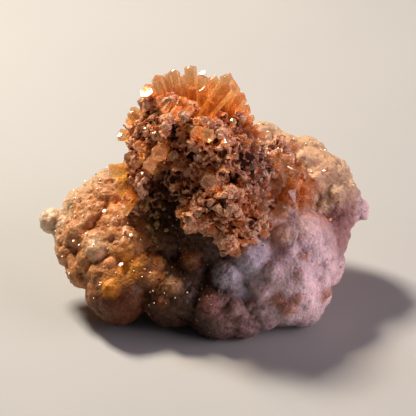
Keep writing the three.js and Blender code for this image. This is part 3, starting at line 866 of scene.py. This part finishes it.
def crystal_material(name, transmission, absorption, density, frosting):
    """See-through crystal in its own tint, deeper at the root, with fine lines along it."""
    n = Nodes(name)
    deep = n.mix(1.0, n.vector("tint"), (0.78, 0.66, 0.42), "MULTIPLY")
    pale = n.mix(0.4, n.vector("tint"), (0.97, 0.72, 0.50))
    base = n.mix(n.ramp(n.value("rise"), (0.35, 0.0), (0.95, 1.0)), deep, pale)
    clouds = n.ramp(n.noise(1.2, detail=3), (0.45, 0.0), (0.7, frosting))
    clouded = n.mix(clouds, base, (0.92, 0.66, 0.42))
    n.colour(n.mix(n.ramp(n.value("rise"), (0.84, 0.0), (1.0, 0.5)), clouded, (1.0, 0.78, 0.62)))
    stretched = n.add("ShaderNodeMapping")
    stretched.inputs["Scale"].default_value = (1, 1, 0.12)
    n.join(n.vector("local"), stretched.inputs["Vector"])
    lines = n.noise(0.16, detail=2, vector=stretched.outputs["Vector"])
    n.roughness(n.ramp(n.noise(0.8, detail=3), (0.35, 0.08), (0.7, 0.32)))
    n.bump(lines, depth=0.05, strength=0.6)
    n.set(IOR=1.46, Transmission_Weight=transmission, Coat_Weight=0.35, Coat_Roughness=0.08)
    n.absorb(absorption, density)
    n.let_light_through(base, 0.12)
    return n.material


def grain_material(name, gloss):
    """Small grains and plates in their own tint."""
    n = Nodes(name)
    shade = n.ramp(n.noise(0.25, detail=3), (0.35, 0.75), (0.65, 1.0))
    n.colour(n.mix(1.0, n.vector("tint"), shade, "MULTIPLY"))
    n.roughness(n.ramp(n.noise(0.5, detail=2), (0.35, gloss), (0.65, gloss + 0.3)))
    n.bump(n.noise(0.12, detail=2), depth=0.04, strength=0.7)
    n.set(IOR=1.5)
    return n.material


def floor_material():
    n = Nodes("pale_floor")
    n.colour(n.ramp(n.noise(60, detail=3), (0.3, (0.44, 0.44, 0.44)), (0.7, (0.47, 0.47, 0.465))))
    n.set(Roughness=0.75)
    return n.material


# The rock

def lump_balls(lumps, grow):
    """A ball for each lump."""
    verts, faces = ball(4)
    middles = seen([lump[:3] for lump in lumps])
    return [(middle + verts * (lump[3] + grow), faces) for middle, lump in zip(middles, lumps)]


def nodule_middle(place, size):
    """The middle of a nodule, a share of its radius under the surface."""
    return surface_at(*place, 0.4 * size)


def with_nodules(verts, tints):
    """The tints, with each nodule's own colour on it."""
    for place, size, colour in NODULES:
        away = np.linalg.norm(verts - nodule_middle(place, size), axis=1) / size
        share = np.clip(1.8 - away, 0, 0.8)[:, None]
        tints = tints * (1 - share) + np.array(colour) * share
    return tints


def smoothness(verts):
    """1 on the rock's smooth places, falling to 0 around them."""
    away = [np.linalg.norm(verts - seen(place), axis=1) / far for place, far in SMOOTH_PLACES]
    return np.clip(1.7 - np.min(away, axis=0), 0, 1)


def rock_skin(material):
    """The rock's lumps as one skin, with knobs within knobs and a flat to rest on."""
    ball_verts, ball_faces = ball(3)
    nodules = [
        (nodule_middle(place, size) + ball_verts * size, ball_faces) for place, size, colour in NODULES
    ]
    verts, faces, edges = merged(lump_balls(ROCK_LUMPS, grow=0.1) + nodules, ROCK_VOXEL)
    verts = smoothed(verts, edges, rounds=9)
    normals = vertex_normals(verts, faces)
    wavy = verts + 0.5 * swells(verts, size=2.0, seed=3)[:, None]
    big = knobs(wavy, size=3.1, seed=21)
    small = knobs(wavy, size=1.5, seed=22)
    tiny = knobs(verts, size=0.75, seed=23)
    grain = swells(verts, size=0.5, seed=24)
    uneven = 0.55 + 0.45 * swells(verts, size=3.5, seed=25)
    rough = 1 - 0.6 * smoothness(verts)
    fine = uneven * (0.6 * (small - 0.74) + 0.55 * (tiny - 0.72)) + 0.14 * grain
    height = 0.85 * (big - 0.78) + rough * fine
    verts = verts + normals * height[:, None]
    verts[:, 2] = np.maximum(verts[:, 2], 0)
    piece = new_piece("rock_skin", verts, faces, material, smooth=True)
    give(piece, "relief", 0.5 + rough * (relief(verts, faces, edges, wide=0.7, narrow=2.0) - 0.5))
    tints = with_nodules(verts, tint_at(verts, ROCK_TINTS))
    # The tint is darkened towards the foot as painted shade
    give(piece, "tint", tints * np.clip(0.4 + verts[:, 2:] / FOOT_SHADE_HEIGHT, 0, 1))
    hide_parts("host_rock")
    return verts, faces


def rock_druse(verts, faces, material):
    """The sparkling sugar on the rock: thousands of tiny crystals."""
    rng = np.random.default_rng(SEED + 1)
    off_the_foot = lambda p, n: (p[:, 2] > 0.6) * (n[:, 2] > -0.6)
    spots, normals = spots_on(verts, faces, ROCK_GRAINS, rng, off_the_foot)
    stand = stuck_on(spots, normals, widths=(0.22, 0.5), lengths=(0.06, 0.2), lean=0.5, rng=rng)
    piece = crystals_piece("rock_druse", stand, rng, material, paler(ROCK_TINTS, 0.14))
    give(piece, "relief", np.full(len(piece.data.vertices), 0.6))


# The club

def club_spots(count, rng, sink):
    """Random spots on the club's core that the rock doesn't cover, and the way out there."""
    middle = seen(CLUB_CENTRE)
    directions = unit(rng.normal(size=(count, 3)))
    spots = middle + directions * reach(directions, CLUB_LUMPS, CLUB_BLEND, middle)[:, None]
    spots = spots[(lump_field(spots, ROCK_LUMPS, ROCK_BLEND) > 0.1) & (recessed(spots) < 0.35)]
    normals = outward(spots, CLUB_LUMPS, CLUB_BLEND)
    return spots - normals * sink, normals


def recessed(verts):
    """How much each vertex belongs to the dark recess in the club's left front."""
    away = verts - VIEW_MIDDLE
    up = away[:, 1] * math.sin(VIEW_TILT) + away[:, 2] * math.cos(VIEW_TILT)
    near = away[:, 2] * math.sin(VIEW_TILT) - away[:, 1] * math.cos(VIEW_TILT)
    places = np.stack([away[:, 0], up, near], -1)
    spread = (places - RECESS_MIDDLE) / RECESS_SIZE
    return np.exp(-(spread**2).sum(1))


def club_crust(material):
    """Dust-coated crystals on a lumpy core, as one granular skin."""
    rng = np.random.default_rng(SEED + 2)
    coated = [
        stuck_on(*club_spots(count, rng, sink=0.5), widths=size, lengths=size, lean=0.8, rng=rng)
        for count, size in CRUST_SIZES
    ]
    spots, directions, widths, lengths, depths, spins = joined(*coated)
    shapes = stood(crystal_shapes(widths, lengths, depths, rng), spots, directions, spins)
    blocks = [(one, CRYSTAL_FACES) for one in shapes]
    core = lump_balls(CLUB_LUMPS, grow=-0.55) + lump_balls(DUST_CLUMPS, grow=-0.2)
    verts, faces, edges = merged(core + blocks, CLUB_VOXEL)
    verts = smoothed(verts, edges, rounds=2)
    normals = vertex_normals(verts, faces)
    wave = 0.45 * swells(verts, size=3.2, seed=46) + 0.4 * ridges(verts, size=3.4, seed=47)
    crests = 0.45 * ridges(verts, size=1.2, seed=43) + 0.32 * ridges(verts, size=0.55, seed=44)
    grain = 0.12 * swells(verts, size=0.3, seed=45)
    verts = verts + normals * (wave + crests + grain)[:, None]
    verts = verts - RECESS_DEPTH * recessed(verts)[:, None] * turned([0, 0, 1])
    piece = new_piece("club_crust", verts, faces, material)
    give(piece, "relief", relief(verts, faces, edges, wide=0.6, narrow=2.5))
    give(piece, "tint", tint_at(verts, CLUB_TINTS))
    return verts, faces


def club_crystals(material):
    """The club's larger clear crystals: those placed one by one, and the sprays."""
    rng = np.random.default_rng(SEED)
    sprays = [spray(*one, CLUB_LUMPS, CLUB_BLEND, CLUB_CENTRE, rng) for one in CLUB_SPRAYS]
    stand = joined(single_crystals(), crown_fillers(rng), *sprays)
    piece = crystals_piece("club_crystals", stand, rng, material, CRYSTAL_TINTS)
    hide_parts("crystal_club")
    bevelled(piece, 0.09)


def club_druse(material):
    """Smaller clear crystals all over the club, fewest on the dusty front block."""
    rng = np.random.default_rng(SEED + 3)
    stands = []
    for count, sink, widths, lengths in DRUSE_SIZES:
        spots, normals = club_spots(count, rng, sink)
        away = np.linalg.norm(spots - seen(FRONT_BLOCK), axis=1)
        kept = (away > FRONT_REACH) | (rng.random(len(spots)) < FRONT_SHARE)
        stands.append(stuck_on(spots[kept], normals[kept], widths, lengths, lean=0.8, rng=rng))
    stands.append(recess_crystals(rng))
    crystals_piece("club_druse", joined(*stands), rng, material, CRYSTAL_TINTS)


def recess_crystals(rng):
    """Small yellow crystals that catch the light in the dark recess."""
    count = 16
    places = rng.normal(RECESS_FOOT, RECESS_FOOT_SPREAD, (count, 2))
    spots = np.array([surface_at(*place, 0) for place in places])
    normals = np.repeat(turned([-0.3, 0.5, 0.8])[None], count, 0)
    return stuck_on(spots, normals, widths=(0.5, 0.9), lengths=(0.9, 1.8), lean=0.5, rng=rng)


def club_grains(verts, faces, material):
    """Crumbs of dust, and frosty bits, lying all over the crust."""
    rng = np.random.default_rng(SEED + 4)
    spots, normals = spots_on(verts, faces, CLUB_GRAINS, rng)
    stand = stuck_on(spots, normals, widths=(0.2, 0.5), lengths=(0.1, 0.4), lean=1.2, rng=rng)
    crystals_piece("club_grains", stand, rng, material, paler(CLUB_TINTS, 0.08))


def glints(sparkling, material):
    """Six-sided plates turned so that they throw the key light back along the photograph's view."""
    rng = np.random.default_rng(SEED + 6)
    normal = unit(unit(np.array(KEY_FROM)) + turned([0, 0, 1]))
    spots = [seen(place) for place, size in FLASHES]
    spots += [surface_at(*place, -0.6) for place, size in GLINTS]
    sizes = [size for place, size in FLASHES + GLINTS]
    for verts, faces, many in sparkling:
        tiny, out = spots_on(verts, faces, many, rng, lambda p, n: np.clip(n @ normal, 0, 1) ** 2)
        spots += list(tiny + 0.12 * out)
        sizes += list(rng.uniform(*SPARKLE_SIZES, many))
    widths = np.array(sizes)
    count = len(widths)
    angle = np.arange(6) * math.pi / 3
    ring = np.stack([np.cos(angle), np.sin(angle), np.zeros(6)], -1) / 2
    local = ring * rng.uniform(0.75, 1.15, (count, 6, 1)) * widths[:, None, None]
    local = np.concatenate([local, local - [0, 0, PLATE_THICKNESS]], 1)
    directions = unit(normal + rng.normal(0, 0.015, (count, 3)))
    verts = stood(local, np.array(spots), directions, rng.uniform(0, math.pi, count)).reshape(-1, 3)
    faces = repeated(PLATE_FACES, PLATE_CORNERS, count)
    piece = new_piece("glints", verts, faces, material)
    give(piece, "tint", np.repeat([PEACH], len(verts), 0))


def surface_at(across, up, deeper):
    """The nearest spot of rock or club, seen at one place in the view, and so much deeper."""
    ahead = -turned([0, 0, 1])
    spot = seen([across, up, NEAREST])
    for _ in range(STEPS_FROM_EYE):
        rock = lump_field(spot[None], ROCK_LUMPS, ROCK_BLEND)[0]
        club = lump_field(spot[None], CLUB_LUMPS, CLUB_BLEND)[0]
        spot = spot + ahead * min(rock, club)
    return spot + ahead * deeper


def pocket_crystals(material):
    """Clear crystals crowded in the hollow between the club and the right wing."""
    rng = np.random.default_rng(SEED + 5)
    sprays = [spray(*one, POCKET_LUMPS, POCKET_BLEND, POCKET_CENTRE, rng) for one in POCKET_SPRAYS]
    piece = crystals_piece("pocket_clear", joined(*sprays), rng, material, POCKET_TINTS)
    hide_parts("pocket_crystals")
    bevelled(piece, 0.05)


# Camera, lights and floor

def camera():
    data = bpy.data.cameras.new("camera")
    data.sensor_width = SENSOR
    data.lens = SENSOR / VIEW_WIDTH * VIEW_DISTANCE
    data.clip_end = 5
    eye = bpy.data.objects.new("camera", data)
    eye.location = Vector(seen([0, 0, VIEW_DISTANCE]) * MM)
    eye.rotation_euler = (math.pi / 2 - VIEW_TILT, 0, 0)
    bpy.context.scene.collection.objects.link(eye)
    bpy.context.scene.camera = eye


def area_light(name, towards, distance, size, watts, colour):
    """A soft square light, at a distance in one direction of the row frame."""
    data = bpy.data.lights.new(name, "AREA")
    data.size = size * MM
    data.energy = watts
    data.color = colour
    light = bpy.data.objects.new(name, data)
    away = unit(np.asarray(towards, float))
    light.location = Vector((VIEW_MIDDLE + away * distance) * MM)
    light.rotation_euler = Vector(away).to_track_quat("Z", "Y").to_euler()
    bpy.context.scene.collection.objects.link(light)


def lights():
    area_light("key", *KEY)
    area_light("fill", *FILL)
    bpy.context.scene.view_settings.view_transform = "Standard"
    world = bpy.data.worlds.new("studio")
    bpy.context.scene.world = world
    world.use_nodes = True
    background = world.node_tree.nodes["Background"]
    background.inputs["Color"].default_value = ROOM_COLOUR
    background.inputs["Strength"].default_value = ROOM_STRENGTH


def floor(material):
    far = FLOOR_REACH
    corners = [(-far, -far, 0), (far, -far, 0), (far, far, 0), (-far, far, 0)]
    mesh = new_mesh("floor", corners, [(0, 1, 2, 3)])
    mesh.materials.append(material)
    piece = bpy.data.objects.new("floor", mesh)
    bpy.context.scene.collection.objects.link(piece)


camera()
lights()
floor(floor_material())

rock = rock_material()
rock_verts, rock_faces = rock_skin(rock)
rock_druse(rock_verts, rock_faces, rock)

crust_verts, crust_faces = club_crust(dust_material())
club_grains(crust_verts, crust_faces, grain_material("dust_grains", gloss=0.25))
club_crystals(crystal_material(
    "amber_crystal", transmission=0.8, absorption=(1.0, 0.56, 0.14), density=130, frosting=0.4,
))
club_druse(crystal_material(
    "small_crystal", transmission=0.7, absorption=(1.0, 0.56, 0.22), density=140, frosting=0.35,
))
pocket_crystals(crystal_material(
    "pocket_crystal", transmission=0.8, absorption=(1.0, 0.5, 0.14), density=160, frosting=0.4,
))
sparkling = [(rock_verts, rock_faces, ROCK_SPARKLES), (crust_verts, crust_faces, CLUB_SPARKLES)]
glints(sparkling, grain_material("glint_faces", gloss=0.03))
